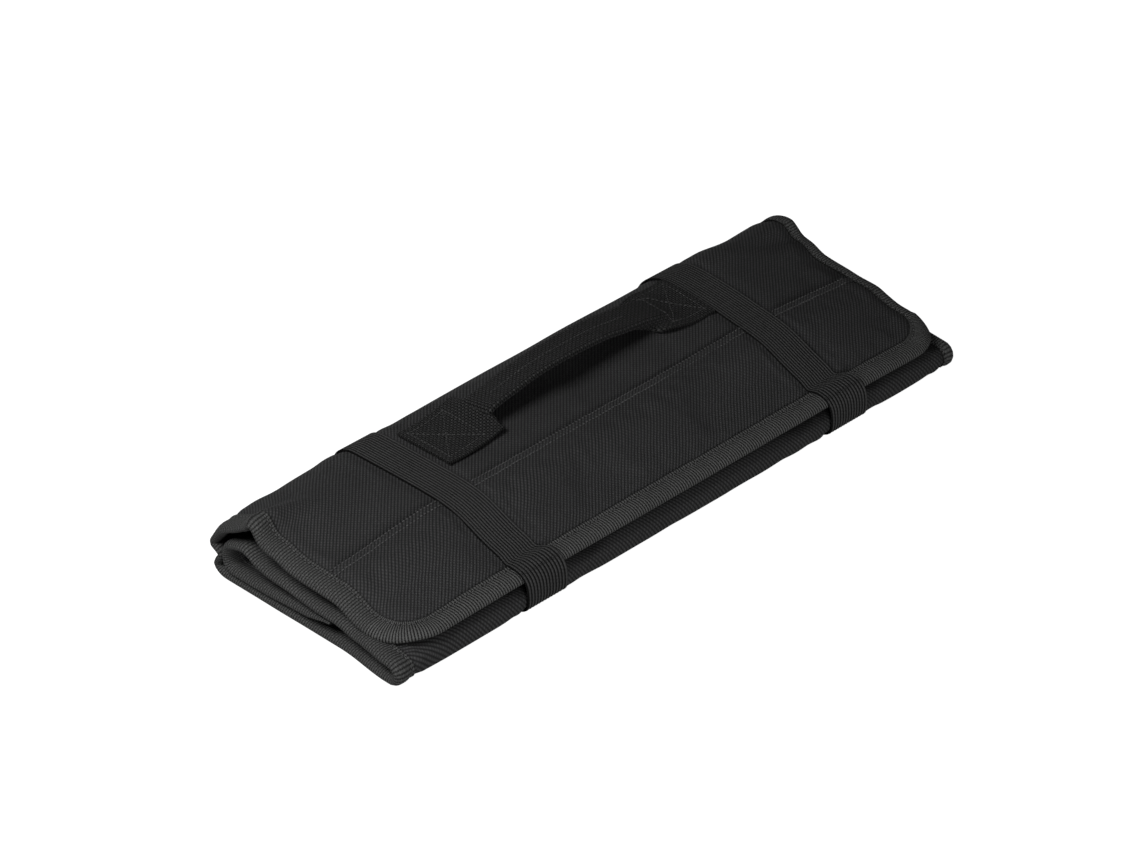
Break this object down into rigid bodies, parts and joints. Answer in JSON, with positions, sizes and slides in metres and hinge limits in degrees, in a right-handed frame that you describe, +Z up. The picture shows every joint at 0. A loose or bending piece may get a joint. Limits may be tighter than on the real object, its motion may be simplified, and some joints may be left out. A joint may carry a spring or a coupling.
{
  "type": "folding tool bag",
  "caption": "Padded cloth tool bag, folded shut, with bound edges, a rounded top flap, elastic bands round the outside and a webbing carry handle.",
  "frame": {"origin": "on the floor, under the middle of the folded bag", "axes": "+X along the bag, to the right when its front fold faces the viewer; +Y from the front fold to the spine that carries the handle; +Z up"},
  "size_m": [0.395, 0.139, 0.0582],
  "materials": {
    "cloth": "matte woven polyester",
    "binding": "coarse woven tape",
    "elastic": "ribbed elastic",
    "webbing": "ribbed webbing"
  },
  "bodies": {
    "root": {"flap_panel": "cloth", "spine_panel": "cloth", "bottom_panel": "cloth", "middle_panel": "cloth", "inner_panel": "cloth", "binding_left": "binding", "binding_right": "binding", "binding_front": "binding", "elastic_left": "elastic", "elastic_right": "elastic", "handle": "webbing"}
  },
  "joints": []
}
